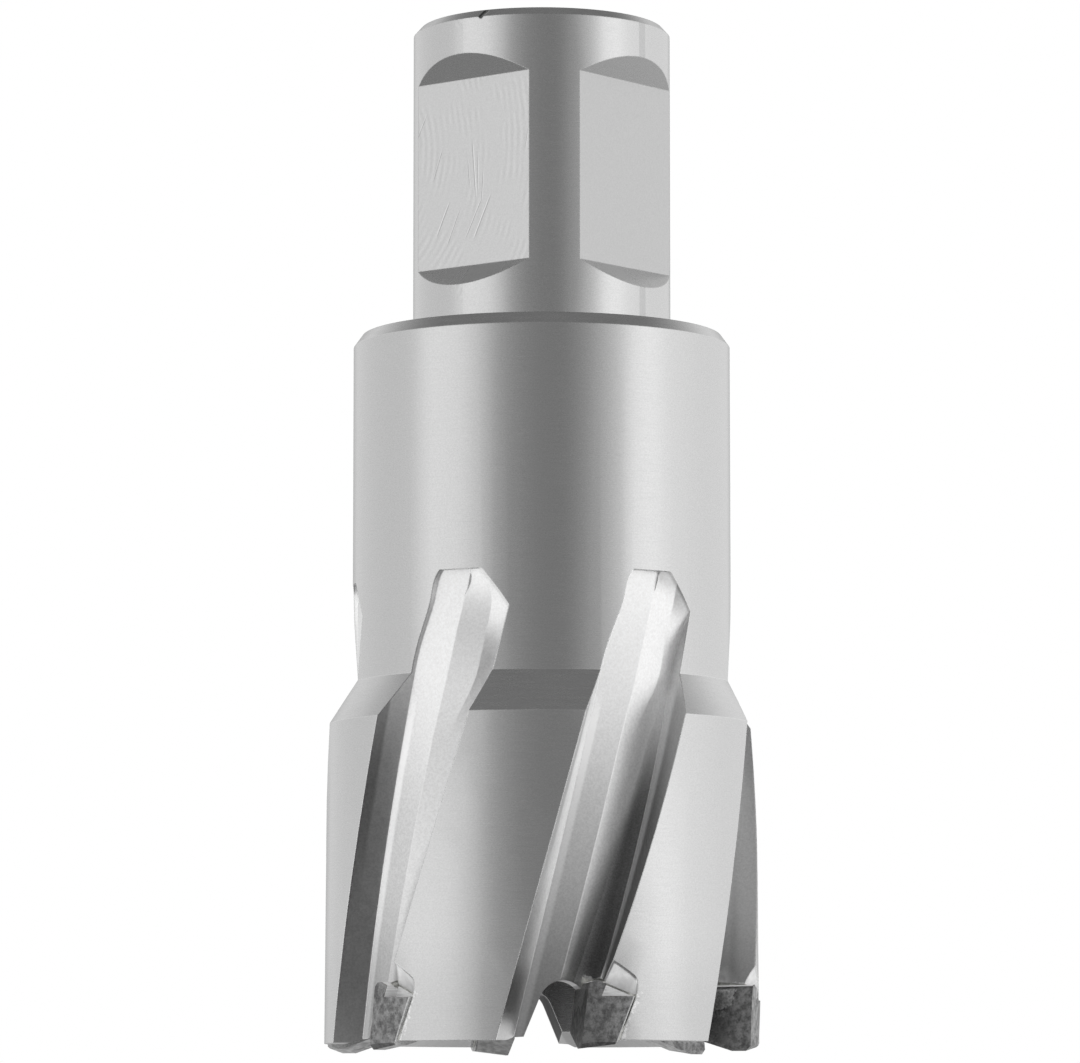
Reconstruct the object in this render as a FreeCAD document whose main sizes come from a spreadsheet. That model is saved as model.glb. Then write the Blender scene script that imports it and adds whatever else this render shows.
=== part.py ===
import FreeCAD, Part
import math
import os
import Sketcher
from FreeCAD import Placement, Rotation, Vector

# Annular cutter with a round shank, two drive flats, six stepped helical flutes and six brazed tips.
# It stands on its tips: the origin is on the axis in the plane of the tips, and +Z points to the shank.
# An angle round the axis is 0 at the front, which is -Y, and grows towards +X.

# Driving dimensions, in millimetres and degrees. Radii and heights are measured from the origin.
DIMENSIONS = {
    # Turned form
    "shank_radius": 9.525,
    "shank_length": 23.05,
    "shank_chamfer_height": 0.55,
    "shank_chamfer_depth": 0.5,
    "shoulder_height": 52.65,
    "shoulder_chamfer_height": 0.85,
    "shoulder_chamfer_depth": 0.62,
    "body_radius": 13.908,
    "cone_height": 3.07,
    "land_height": 23.86,
    "land_relief": 0.12,
    "land_taper": 0.14,
    "core_radius": 11.0,
    "core_height": 37.5,
    "core_roof_angle": 31.0,
    "pilot_radius": 4.0,
    "pilot_chamfer": 0.7,
    # Drive flats on the shank
    "flat_distance": 7.93,
    "flat_foot": 4.5,
    "flat_length": 13.85,
    "flat_end_angle": 45.0,
    "flat_angle": -39.3,
    "flat_spacing": 90.0,
    # Teeth and flutes
    "tooth_count": 6,
    "flute_top": 34.2,
    "gullet_foot_angle": -9.1,
    "gullet_foot_rate": 1.01,
    "gullet_foot_radius": 13.9,
    "gullet_foot_taper": 0.01,
    "gullet_wall_slope": 25.0,
    "gullet_swing_height": 28.0,
    "gullet_swing_rate": 0.55,
    "crease_angle": 1.8,
    "crease_rate": 1.05,
    "crease_radius": 13.52,
    "crease_overlap": 0.6,
    "step_depth": 0.12,
    "step_height": 31.9,
    "step_fade": 2.0,
    "step_spread": 4.0,
    "step_wall_slope": 50.0,
    "groove_edge_angle": 1.3,
    "groove_edge_rate": 0.45,
    "groove_edge_share": 0.8,
    "groove_radius": 12.9,
    "rake_angle": 9.515,
    "rake_rate": 1.4843,
    "rake_bend": 0.0076,
    "rake_undercut": 12.0,
    "run_out_radius": 10.5,
    "run_out_rake_height": 27.0,
    "run_out_middle_height": 29.7,
    "run_out_crease_height": 31.6,
    "middle_radius": 13.22,
    "middle_share": 0.6,
    "blend_height": 22.0,
    "blend_length": 5.0,
    # Tips, their braze and their pockets
    "tip_radius": 16.0,
    "core_clearance": 0.2,
    "tip_thickness": 2.48,
    "tip_angle": 11.95,
    "tip_slant": 22.0,
    "tip_pivot_height": 1.9,
    "tip_reach": 2.94,
    "tip_corner": 0.6,
    "tip_projection": 0.6,
    "rake_face_angle": 10.0,
    "rake_face_slant": 7.0,
    "relief_angle": 7.0,
    "bevel_margin": 1.4,
    "bevel_angle": 17.0,
    "outer_chamfer": 0.35,
    "outer_chamfer_angle": 45.0,
    "braze_thickness": 0.12,
    "ramp_wheel_radius": 4.0,
    "ramp_wheel_height": 2.2,
    "ramp_depth": 1.0,
    "ramp_corner": 0.65,
    "ramp_front": 0.2,
    "ledge_height": 3.7,
    # Windows between the teeth
    "window_width": 3.7,
    "window_top": 4.85,
    "window_overlap": 0.3,
    # How far a cutting tool runs past what it cuts
    "overrun": 2.0,
}

doc = FreeCAD.newDocument("annular_cutter")
sheet = doc.addObject("Spreadsheet::Sheet", "dims")
for row, (alias, value) in enumerate(DIMENSIONS.items(), start=1):
    sheet.set(f"A{row}", alias)
    sheet.set(f"B{row}", str(value))
    sheet.setAlias(f"B{row}", alias)
doc.recompute()


def size(alias):
    """A driving dimension, as the sheet holds it."""
    return float(sheet.get(alias))


def add(kind, name, expressions=None, placement=None):
    """A document object whose sizes and place are bound to the sheet."""
    item = doc.addObject(kind, name)
    item.Label = name
    for prop, expression in (expressions or {}).items():
        item.setExpression(prop, expression)
    if placement:
        item.setExpression("Placement", placement)
    return item


def origin_feature(body, role):
    """One of the body's own origin planes or axes."""
    return next(item for item in body.Origin.OriginFeatures if item.Role == role)


def closed_sketch(body, name, corners):
    """A sketch on the XZ plane whose corners are bound to pairs of expressions."""
    sketch = body.newObject("Sketcher::SketchObject", name)
    sketch.AttachmentSupport = [(origin_feature(body, "XZ_Plane"), "")]
    sketch.MapMode = "FlatFace"
    # A rough circle of corners comes first, and the constraints then pull each one to its place.
    count = len(corners)
    turns = [2 * math.pi * index / count for index in range(count)]
    rough = [Vector(size("body_radius") * (2 + math.cos(turn)), size("shoulder_height") * (1 + math.sin(turn)), 0)
             for turn in turns]
    for index in range(count):
        sketch.addGeometry(Part.LineSegment(rough[index], rough[(index + 1) % count]), False)
    for index in range(count):
        sketch.addConstraint(Sketcher.Constraint("Coincident", index, 2, (index + 1) % count, 1))
    for index, (across, up) in enumerate(corners):
        for kind, expression in (("DistanceX", across), ("DistanceY", up)):
            place = rough[index].x if kind == "DistanceX" else rough[index].y
            number = sketch.addConstraint(Sketcher.Constraint(kind, -1, 1, index, 1, place))
            sketch.setExpression(f"Constraints[{number}]", expression)
    return sketch


def axis_turn(angle):
    """A placement that only turns about the axis."""
    return f"placement(vector(0; 0; 0); rotation({angle}; 0; 0))"


# The blank is turned and bored in one piece: shank, shoulder, body, cone, land, core and pilot hole.
blank = add("PartDesign::Body", "turned_blank")
doc.recompute()
OVERALL = "(dims.shoulder_height + dims.shank_length)"
LAND_RADIUS = "(dims.tip_radius - dims.land_relief)"
BEVEL_RADIUS = "(dims.tip_radius - dims.bevel_margin)"
BEVEL_RISE = f"({BEVEL_RADIUS} - dims.core_radius) * tan(dims.bevel_angle)"
ROOF_RISE = "(dims.core_radius - dims.pilot_radius) * tan(dims.core_roof_angle)"
turned_profile = closed_sketch(blank, "turned_profile", [
    ("dims.core_radius", f"dims.tip_projection + {BEVEL_RISE}"),
    (BEVEL_RADIUS, "dims.tip_projection"),
    (LAND_RADIUS, "dims.tip_projection"),
    (f"{LAND_RADIUS} - dims.land_taper", "dims.land_height"),
    ("dims.body_radius", "dims.land_height + dims.cone_height"),
    ("dims.body_radius", "dims.shoulder_height - dims.shoulder_chamfer_height"),
    ("dims.body_radius - dims.shoulder_chamfer_depth", "dims.shoulder_height"),
    ("dims.shank_radius", "dims.shoulder_height"),
    ("dims.shank_radius", f"{OVERALL} - dims.shank_chamfer_height"),
    ("dims.shank_radius - dims.shank_chamfer_depth", OVERALL),
    ("dims.pilot_radius + dims.pilot_chamfer", OVERALL),
    ("dims.pilot_radius", f"{OVERALL} - dims.pilot_chamfer"),
    ("dims.pilot_radius", f"dims.core_height + {ROOF_RISE}"),
    ("dims.core_radius", "dims.core_height"),
])
turning = blank.newObject("PartDesign::Revolution", "turning")
turning.Profile = turned_profile
turning.ReferenceAxis = (turned_profile, ["V_Axis"])
turning.Angle = 360
doc.recompute()

# Two flats are milled on the shank, with sloping ends. Each cut starts beyond the shank's surface.
FLAT_FOOT = "(dims.shoulder_height + dims.flat_foot)"
FLAT_REACH = "(dims.shank_radius + dims.overrun - dims.flat_distance)"
END_RUN = f"{FLAT_REACH} * tan(dims.flat_end_angle)"
flat_profile = closed_sketch(blank, "flat_profile", [
    ("dims.flat_distance", FLAT_FOOT),
    ("dims.flat_distance", f"{FLAT_FOOT} + dims.flat_length"),
    ("dims.shank_radius + dims.overrun", f"{FLAT_FOOT} + dims.flat_length + {END_RUN}"),
    ("dims.shank_radius + dims.overrun", f"{FLAT_FOOT} - {END_RUN}"),
])
flat_profile.AttachmentOffset = Placement(Vector(), Rotation(Vector(0, 1, 0), size("flat_angle")))
flat_profile.setExpression(".AttachmentOffset.Rotation.Angle", "dims.flat_angle - 90")
flat_cut = blank.newObject("PartDesign::Pocket", "flat_cut")
flat_cut.Profile = flat_profile
flat_cut.Midplane = True
flat_cut.setExpression("Length", "2 * dims.shank_radius")
doc.recompute()
flats = blank.newObject("PartDesign::PolarPattern", "flats")
flats.Originals = [flat_cut]
flats.Axis = (turned_profile, ["V_Axis"])
flats.Occurrences = 2
flats.setExpression("Angle", "dims.flat_spacing")
blank.Tip = flats
doc.recompute()


# Each flute is two helical cuts: a shallow gullet behind the tooth ahead, and a deeper groove
# along the rake wall of the next tooth, which runs out on a curve in the body.
def place(angle, radius, height):
    """A point from its angle round the axis, its distance from the axis and its height."""
    turn = math.radians(angle)
    return Vector(radius * math.sin(turn), -radius * math.cos(turn), height)


def out_from(start, angle, slope, reach):
    """A point up a wall that starts at a flute's floor and leans back by its slope."""
    turn = math.radians(angle)
    outward = Vector(math.sin(turn), -math.cos(turn), 0)
    backward = Vector(-math.cos(turn), -math.sin(turn), 0)
    return start + outward * reach + backward * reach * math.tan(math.radians(slope))


def between(start, end, share):
    return start + (end - start) * share


def run_out(height, start):
    """How far the wheel has lifted at a height, on an arc that starts lower down."""
    return max(0.0, height - start) ** 2 / (2 * size("run_out_radius"))


def blend(height):
    """0 below the blend and 1 above it, with smooth ends."""
    share = min(1.0, max(0.0, (height - size("blend_height")) / size("blend_length")))
    return share * share * (3 - 2 * share)


def crease_angle(height):
    return size("crease_angle") + size("crease_rate") * height


def reach_from(radius):
    return size("tip_radius") + size("overrun") - radius


def gullet_section(height):
    """The shallow cut: its leaning wall, its nearly flat floor, and a side inside the groove."""
    swing = size("gullet_swing_rate") * max(0.0, height - size("gullet_swing_height"))
    foot_angle = size("gullet_foot_angle") + size("gullet_foot_rate") * height + swing
    foot_radius = size("gullet_foot_radius") - size("gullet_foot_taper") * height
    foot = place(foot_angle, foot_radius, height)
    end_angle = crease_angle(height) + size("crease_overlap")
    end = place(end_angle, size("crease_radius"), height)
    return [
        out_from(foot, foot_angle, size("gullet_wall_slope"), reach_from(foot_radius)),
        foot,
        end,
        out_from(end, end_angle, 0, reach_from(size("crease_radius"))),
    ]


def rake_foot_angle(height, foot_radius):
    """Where the rake wall meets the floor: the wall is undercut, so its foot lies behind its edge."""
    edge_angle = size("rake_angle") + size("rake_rate") * height - size("rake_bend") * height ** 2
    land_radius = size("tip_radius") - size("land_relief")
    undercut = (land_radius - foot_radius) * math.tan(math.radians(size("rake_undercut")))
    return edge_angle + math.degrees(undercut / land_radius)


def groove_section(height):
    """The deep cut: a low step at the crease, a sloping side, the floor and the undercut rake wall."""
    sink = size("step_depth")
    step = max(-sink, min(sink, (size("step_height") - height) * sink / size("step_fade")))
    crease_radius = size("crease_radius") + step + run_out(height, size("run_out_crease_height"))
    start_angle = crease_angle(height) - max(0.0, step) * math.degrees(size("step_spread") / crease_radius)
    start = place(start_angle, crease_radius, height)

    rake_radius = size("groove_radius") + run_out(height, size("run_out_rake_height"))
    foot_angle = rake_foot_angle(height, rake_radius)
    rake_foot = place(foot_angle, rake_radius, height)

    edge_angle = crease_angle(height) + size("groove_edge_angle") + size("groove_edge_rate") * height
    low_edge = place(edge_angle, size("groove_radius"), height)
    low_middle = (start + low_edge) / 2

    middle_angle = crease_angle(height) + size("middle_share") * (foot_angle - crease_angle(height))
    middle_radius = size("middle_radius") + run_out(height, size("run_out_middle_height"))
    high_middle = place(middle_angle, middle_radius, height)
    high_edge = between(high_middle, rake_foot, size("groove_edge_share"))

    share = blend(height)
    return [
        out_from(start, start_angle, size("step_wall_slope"), reach_from(crease_radius)),
        start,
        between(low_middle, high_middle, share),
        between(low_edge, high_edge, share),
        rake_foot,
        out_from(rake_foot, foot_angle, size("rake_undercut"), reach_from(size("groove_radius"))),
    ]


SECTION_COUNT = 19


def helical_cut(name, section):
    """A solid lofted through the cut's sections, from below the tips to the top of the flute."""
    low = -size("overrun")
    step = (size("flute_top") - low) / (SECTION_COUNT - 1)
    sections = [section(low + step * index) for index in range(SECTION_COUNT)]
    wires = [Part.makePolygon(corners + corners[:1]) for corners in sections]
    cut = doc.addObject("Part::Feature", name)
    cut.Label = name
    cut.Shape = Part.makeLoft(wires, True, False)
    cut.Placement = Placement()
    return cut


gullet_cut = helical_cut("gullet_cut", gullet_section)
groove_cut = helical_cut("groove_cut", groove_section)

# The tip, its pocket and the window lean with the tooth. Their frame starts on the rake wall at the
# pivot height: x goes back into the tooth, -y outward, and z up along the slant.
LEAN = "placement(vector(0; 0; dims.tip_pivot_height); rotation(dims.tip_angle; dims.tip_slant; 0))"
LEAN_DEPTH = "dims.tip_radius - dims.core_radius + 2 * dims.overrun"


def leaning(across, outward, up, turn="0; 0; 0"):
    """A placement inside the leaning frame."""
    return f"{LEAN} * placement(vector({across}; -({outward}); {up}); rotation({turn}))"


def leaning_slot(name, gap):
    """A leaning plate that is deeper and longer than the tip by a gap, and runs past it in front."""
    return add("Part::Box", name, {
        "Length": f"dims.overrun + dims.tip_thickness + {gap}",
        "Width": LEAN_DEPTH,
        "Height": f"2 * dims.tip_pivot_height + dims.tip_reach + {gap}",
    }, leaning("-dims.overrun", "dims.tip_radius + dims.overrun", "-2 * dims.tip_pivot_height"))


# The rake face leans less than the tooth, so the tip stands proud of the rake wall at its top.
# What lies behind the rake face is one block, which also ends the pocket in front.
LEVEL_BLOCK = {
    "Length": "dims.tip_thickness + 2 * dims.overrun",
    "Width": LEAN_DEPTH,
    "Height": "dims.tip_pivot_height + dims.tip_reach + 2 * dims.overrun",
}
behind_rake = add("Part::Box", "behind_rake", LEVEL_BLOCK, (
    "placement(vector(0; 0; 0); rotation(dims.rake_face_angle; dims.rake_face_slant; 0))"
    " * placement(vector(0; -dims.tip_radius - dims.overrun; -dims.overrun); rotation(0; 0; 0))"))
tip_slot = leaning_slot("tip_slot", "0")
tip_plate = add("Part::Common", "tip_plate")
tip_plate.Base = behind_rake
tip_plate.Tool = tip_slot
doc.recompute()


def front_top_edge(plate):
    """The number of the straight edge that lies furthest up and forward in the leaning frame."""
    back = plate.Shape.copy()
    back.transformShape(tip_slot.Placement.inverse().toMatrix())
    rises = [edge.CenterOfMass.z - edge.CenterOfMass.x for edge in back.Edges]
    return 1 + rises.index(max(rises))


tip_form = add("Part::Fillet", "tip_form")
tip_form.Base = tip_plate
tip_form.Edges = [(front_top_edge(tip_plate), size("tip_corner"), size("tip_corner"))]

# The tip is what this plate fills between two upright cylinders.
RING_HEIGHT = "dims.tip_pivot_height + dims.tip_reach + dims.overrun"
tip_outside = add("Part::Cylinder", "tip_outside", {"Radius": "dims.tip_radius", "Height": RING_HEIGHT})
tip_inside = add("Part::Cylinder", "tip_inside", {
    "Radius": "dims.core_radius - dims.core_clearance",
    "Height": RING_HEIGHT,
})
tip_ring = add("Part::Cut", "tip_ring")
tip_ring.Base = tip_outside
tip_ring.Tool = tip_inside
tip_blank = add("Part::Common", "tip_blank")
tip_blank.Base = tip_ring
tip_blank.Tool = tip_form


def grinding_wedge(name, outward, roll):
    """What is ground off the tip's lower end, below a plane that rises behind the cutting edge."""
    return add("Part::Box", name, {
        "Length": "dims.tip_thickness + 2 * dims.overrun",
        "Width": f"2 * ({LEAN_DEPTH})",
        "Height": "dims.overrun",
    }, ("placement(vector(0; 0; 0); rotation(dims.rake_face_angle; 0; 0))"
        f" * placement(vector(0; -({outward}); 0); rotation(0; -dims.relief_angle; {roll}))"
        " * placement(vector(-dims.overrun; -dims.overrun; -dims.overrun); rotation(0; 0; 0))"))


# The pocket has the tip's front, and room for the braze behind the tip and above it.
pocket_slot = leaning_slot("pocket_slot", "dims.braze_thickness")
pocket_cut = add("Part::Common", "pocket_cut")
pocket_cut.Base = behind_rake
pocket_cut.Tool = pocket_slot

# Above the tip the pocket runs out in a ramp, left by a wheel with one rounded corner.
WHEEL_OUT = f"{LAND_RADIUS} + dims.ramp_wheel_radius - dims.ramp_depth"
wheel_disc = add("Part::Cylinder", "wheel_disc", {
    "Radius": "dims.ramp_wheel_radius",
    "Height": "dims.overrun + dims.tip_thickness + dims.braze_thickness",
}, leaning("-dims.overrun", WHEEL_OUT, "dims.ramp_wheel_height", "0; 90; 0"))
doc.recompute()


def far_rim(disc):
    """The number of the round edge at the end of a cylinder."""
    bare = disc.Shape.copy()
    bare.Placement = Placement()
    ends = [edge.CenterOfMass.z for edge in bare.Edges]
    return 1 + ends.index(max(ends))


ramp_wheel = add("Part::Fillet", "ramp_wheel")
ramp_wheel.Base = wheel_disc
ramp_wheel.Edges = [(far_rim(wheel_disc), size("ramp_corner"), size("ramp_corner"))]

# The ramp also takes off the tip's outer top corner, above a level ledge and behind its front.
above_ledge = add("Part::Cylinder", "above_ledge", {
    "Radius": "dims.tip_radius + dims.overrun",
    "Height": RING_HEIGHT,
}, "placement(vector(0; 0; dims.ledge_height); rotation(0; 0; 0))")
behind_front = add("Part::Box", "behind_front", {
    "Length": "dims.tip_thickness + dims.overrun",
    "Width": LEAN_DEPTH,
    "Height": "2 * (dims.tip_reach + dims.overrun)",
}, leaning("dims.ramp_front", "dims.tip_radius + dims.overrun", "-dims.overrun"))
tip_corner_cut = add("Part::MultiCommon", "tip_corner_cut")
tip_corner_cut.Shapes = [ramp_wheel, above_ledge, behind_front]

# The tip's lower end has a level edge, a bevel that rises towards the core, and a small outer chamfer.
tip_grind = add("Part::MultiFuse", "tip_grind")
tip_grind.Shapes = [
    grinding_wedge("relief_wedge", "dims.tip_radius", "0"),
    grinding_wedge("bevel_wedge", BEVEL_RADIUS, "dims.bevel_angle"),
    grinding_wedge("outer_wedge", "dims.tip_radius - dims.outer_chamfer", "-dims.outer_chamfer_angle"),
    tip_corner_cut,
]

# The window is a leaning slot with a round end. It opens the core to the flute ahead of the tip.
WINDOW_LEFT = "(dims.window_overlap - dims.window_width)"
WINDOW_MIDDLE = "(dims.window_overlap - dims.window_width / 2)"
WINDOW_END = ("(dims.window_top - dims.window_width / 2 - dims.tip_pivot_height"
              f" + {WINDOW_MIDDLE} * sin(dims.tip_slant)) / cos(dims.tip_slant)")
window_slot = add("Part::Box", "window_slot", {
    "Length": "dims.window_width",
    "Width": LEAN_DEPTH,
    "Height": f"2 * dims.tip_pivot_height + {WINDOW_END}",
}, leaning(WINDOW_LEFT, "dims.tip_radius + dims.overrun", "-2 * dims.tip_pivot_height"))
window_end = add("Part::Cylinder", "window_end", {
    "Radius": "dims.window_width / 2",
    "Height": LEAN_DEPTH,
}, leaning(WINDOW_MIDDLE, "dims.core_radius - dims.overrun", WINDOW_END, "0; 0; 90"))

# What is repeated round the axis: the flute, and the pocket with its ramp and window.
TEETH = range(1, int(size("tooth_count")) + 1)


def tooth_turn(number):
    """The turn from the first tooth, which is the one to the left of the middle."""
    return axis_turn(f"({number} - 2) * 360 / dims.tooth_count")


flute_cuts = []
tooth_cuts = []
for number in TEETH:
    flute = add("Part::Fuse", f"flute_cut_{number}", placement=tooth_turn(number))
    flute.Base = gullet_cut
    flute.Tool = groove_cut
    flute_cuts.append(flute)
    tooth = add("Part::MultiFuse", f"tooth_cut_{number}", placement=tooth_turn(number))
    tooth.Shapes = [pocket_cut, ramp_wheel, window_slot, window_end]
    tooth_cuts.append(tooth)

all_flutes = add("Part::Compound", "all_flutes")
all_flutes.Links = flute_cuts
all_teeth = add("Part::Compound", "all_teeth")
all_teeth.Links = tooth_cuts
fluted_blank = add("Part::Cut", "fluted_blank")
fluted_blank.Base = blank
fluted_blank.Tool = all_flutes
cutter_body = add("Part::Cut", "cutter_body")
cutter_body.Base = fluted_blank
cutter_body.Tool = all_teeth

# The braze fills what is left of each pocket, behind the tip and above it.
pocket_filling = add("Part::Common", "pocket_filling")
pocket_filling.Base = fluted_blank
pocket_filling.Tool = pocket_cut
tip_and_ramp = add("Part::MultiFuse", "tip_and_ramp")
tip_and_ramp.Shapes = [tip_blank, ramp_wheel]

pieces = [cutter_body]
for number in TEETH:
    tip = add("Part::Cut", f"carbide_tip_{number}", placement=tooth_turn(number))
    tip.Base = tip_blank
    tip.Tool = tip_grind
    seam = add("Part::Cut", f"braze_seam_{number}", placement=tooth_turn(number))
    seam.Base = pocket_filling
    seam.Tool = tip_and_ramp
    pieces += [tip, seam]

doc.recompute()

# Nothing is written unless every object and every piece is sound.
for item in doc.Objects:
    if {"Invalid", "Error"} & set(item.State):
        raise RuntimeError(f"{item.Label} failed: {item.State}")
for piece in pieces:
    if piece.Shape.isNull() or not piece.Shape.isValid() or len(piece.Shape.Solids) != 1:
        raise RuntimeError(f"{piece.Label} is not one sound solid")

os.makedirs("parts", exist_ok=True)
for piece in pieces:
    piece.Shape.exportStep(f"parts/{piece.Label}.step")
    print(f"{piece.Label}: {piece.Shape.Volume:.2f} mm3, {len(piece.Shape.Faces)} faces")
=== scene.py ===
import math

import bpy
from mathutils import Matrix, Vector, noise as mathutils_noise


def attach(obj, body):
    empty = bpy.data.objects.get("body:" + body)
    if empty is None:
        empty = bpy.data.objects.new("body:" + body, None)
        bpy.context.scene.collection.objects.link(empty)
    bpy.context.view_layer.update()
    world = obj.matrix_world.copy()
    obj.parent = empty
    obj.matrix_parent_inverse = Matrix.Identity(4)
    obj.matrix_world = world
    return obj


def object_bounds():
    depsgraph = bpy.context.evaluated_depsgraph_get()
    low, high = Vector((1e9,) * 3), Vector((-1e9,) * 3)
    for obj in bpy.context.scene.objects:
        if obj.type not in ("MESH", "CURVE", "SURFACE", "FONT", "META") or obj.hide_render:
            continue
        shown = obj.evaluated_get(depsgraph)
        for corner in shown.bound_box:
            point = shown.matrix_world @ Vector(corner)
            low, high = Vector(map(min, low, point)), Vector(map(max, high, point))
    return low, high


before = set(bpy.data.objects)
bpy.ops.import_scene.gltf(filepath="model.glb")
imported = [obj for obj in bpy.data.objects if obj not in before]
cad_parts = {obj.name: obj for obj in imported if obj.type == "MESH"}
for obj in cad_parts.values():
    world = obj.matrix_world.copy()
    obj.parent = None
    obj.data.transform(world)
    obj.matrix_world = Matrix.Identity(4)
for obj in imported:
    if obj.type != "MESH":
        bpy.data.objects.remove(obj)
cad_low, cad_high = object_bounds()

# Looks of the annular cutter: the camera, the studio, and the materials of the body, tips and braze.
# Blender works in metres. An angle round the axis is 0 at the front, which is -Y, and grows towards +X.
MM = 0.001
DOWN = (0.0, 0.0, -1.0)

# Places on the cutter, in millimetres from the plane of its tips and from its axis.
SHOULDER_HEIGHT = 52.65
SHANK_RADIUS = 9.525
FLAT_ANGLES = (-39.3, 50.7)
FLAT_LOW = 57.2
FLUTE_TOP = 34.2
LAND_HEIGHT = 23.86
CONE_TOP = 26.93
CORE_RADIUS = 11.0
CORE_TOP = 42.0
BODY_RADIUS = 13.908
LAND_RADIUS = 15.74
LAND_FOOT_RADIUS = 15.88
HELIX_RATE = math.radians(1.25)

# The teeth, each with a tip that leans back. Angles are in degrees, in the second tooth, whose tip stands
# just right of the middle.
TOOTH_COUNT = 6
MEASURED_TOOTH = 2
TIP_RADIUS = 16.0
TIP_ANGLE = 11.95
TIP_SLANT = 22.0
TIP_PIVOT_HEIGHT = 1.9
TIP_REACH = 2.94
TIP_THICKNESS = 2.48
RAKE_FACE_ANGLE = 10.0
RAKE_FACE_SLANT = 7.0
LEDGE_HEIGHT = 3.7


# Node graphs: each helper adds nodes to a tree and returns an output. A new ramp already has two stops.
STOPS_AT_START = 2


def set_input(tree, socket, value):
    """Links the value if it is a socket, and otherwise sets it as the socket's default."""
    if isinstance(value, bpy.types.NodeSocket):
        tree.links.new(value, socket)
    else:
        socket.default_value = value


def add_node(tree, kind, inputs=(), **settings):
    node = tree.nodes.new(kind)
    for name, value in settings.items():
        setattr(node, name, value)
    for name, value in dict(inputs).items():
        set_input(tree, node.inputs[name], value)
    return node


def calculate(tree, operation, first, second=0.0, third=0.0, clamp=False):
    inputs = {0: first, 1: second, 2: third}
    return add_node(tree, "ShaderNodeMath", inputs, operation=operation, use_clamp=clamp).outputs[0]


def multiply(tree, *values):
    product = values[0]
    for value in values[1:]:
        product = calculate(tree, "MULTIPLY", product, value)
    return product


def add(tree, *values):
    total = values[0]
    for value in values[1:]:
        total = calculate(tree, "ADD", total, value)
    return total


def subtract(tree, *values):
    rest = values[0]
    for value in values[1:]:
        rest = calculate(tree, "SUBTRACT", rest, value)
    return rest


def measured(tree, vector, operation, other=(0.0, 0.0, 0.0)):
    """A number from vector mathematics, such as a length or a dot product."""
    return add_node(tree, "ShaderNodeVectorMath", {0: vector, 1: other}, operation=operation).outputs["Value"]


def joined(tree, x, y, z=0.0):
    return add_node(tree, "ShaderNodeCombineXYZ", {"X": x, "Y": y, "Z": z}).outputs[0]


def smooth_step(tree, value, low, high, start=0.0, end=1.0):
    """A smooth change from start to end as the value goes from low to high."""
    node = add_node(tree, "ShaderNodeMapRange", {
        "Value": value, "From Min": low, "From Max": high, "To Min": start, "To Max": end,
    }, interpolation_type="SMOOTHSTEP")
    return node.outputs["Result"]


def straight_step(tree, value, low, high, start=0.0, end=1.0):
    """The same change at an even rate."""
    step = smooth_step(tree, value, low, high, start, end)
    step.node.interpolation_type = "LINEAR"
    return step


def factor_on(tree, mask, factor):
    """1 where the mask is 0, and the factor where the mask is 1."""
    return smooth_step(tree, mask, 0.0, 1.0, 1.0, factor)


def band(tree, value, low, high, soft):
    """1 between two values and 0 outside them, with soft ends."""
    rise = smooth_step(tree, value, low - soft, low + soft)
    fall = smooth_step(tree, value, high - soft, high + soft, 1.0, 0.0)
    return multiply(tree, rise, fall)


def colour_mix(tree, factor, first, second):
    node = tree.nodes.new("ShaderNodeMix")
    node.data_type = "RGBA"
    for socket, value in zip((node.inputs[0], node.inputs[6], node.inputs[7]), (factor, first, second)):
        set_input(tree, socket, value)
    return node.outputs[2]


def grey(level):
    return (level, level, level, 1.0)


def noise(tree, vector, scale, detail, roughness=0.5):
    node = add_node(tree, "ShaderNodeTexNoise", {
        "Vector": vector, "Scale": scale, "Detail": detail, "Roughness": roughness,
    })
    return node.outputs[0]


def curve_of(tree, factor, stops):
    """A grey level read from a ramp of (place, level) stops."""
    node = add_node(tree, "ShaderNodeValToRGB", {"Fac": factor})
    ramp = node.color_ramp
    ramp.interpolation = "EASE"
    for index, (place, level) in enumerate(stops):
        stop = ramp.elements[index] if index < STOPS_AT_START else ramp.elements.new(place)
        stop.position = place
        stop.color = grey(level)
    return node.outputs["Color"]


def relief(tree, height, strength, depth, **inputs):
    """Normals of a fine relief whose depth is in millimetres."""
    inputs.update({"Height": height, "Strength": strength, "Distance": depth * MM})
    return add_node(tree, "ShaderNodeBump", inputs).outputs[0]


# Camera: its place and tilt come from the outlines of the shank, the body and the tips.
CAMERA_PLACE = (-0.128, -412.83, -6.81)
CAMERA_PITCH = 0.1087
FOCAL_LENGTH = 187.68
SENSOR_WIDTH = 36.0
CLIP_START = 0.01
CLIP_END = 20.0


def make_camera():
    camera = bpy.data.objects.new("camera", bpy.data.cameras.new("camera"))
    bpy.context.scene.collection.objects.link(camera)
    camera.location = Vector(CAMERA_PLACE) * MM
    camera.rotation_euler = (math.pi / 2 + CAMERA_PITCH, 0.0, 0.0)
    camera.data.lens = FOCAL_LENGTH
    camera.data.sensor_width = SENSOR_WIDTH
    camera.data.clip_start = CLIP_START
    camera.data.clip_end = CLIP_END
    bpy.context.scene.camera = camera


# Studio: a pale floor, and a world that is white to the camera and a soft light room to the steel.
FLOOR_SIZE = 3.0
FLOOR_COLOUR = (0.86, 0.86, 0.86, 1.0)


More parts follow.
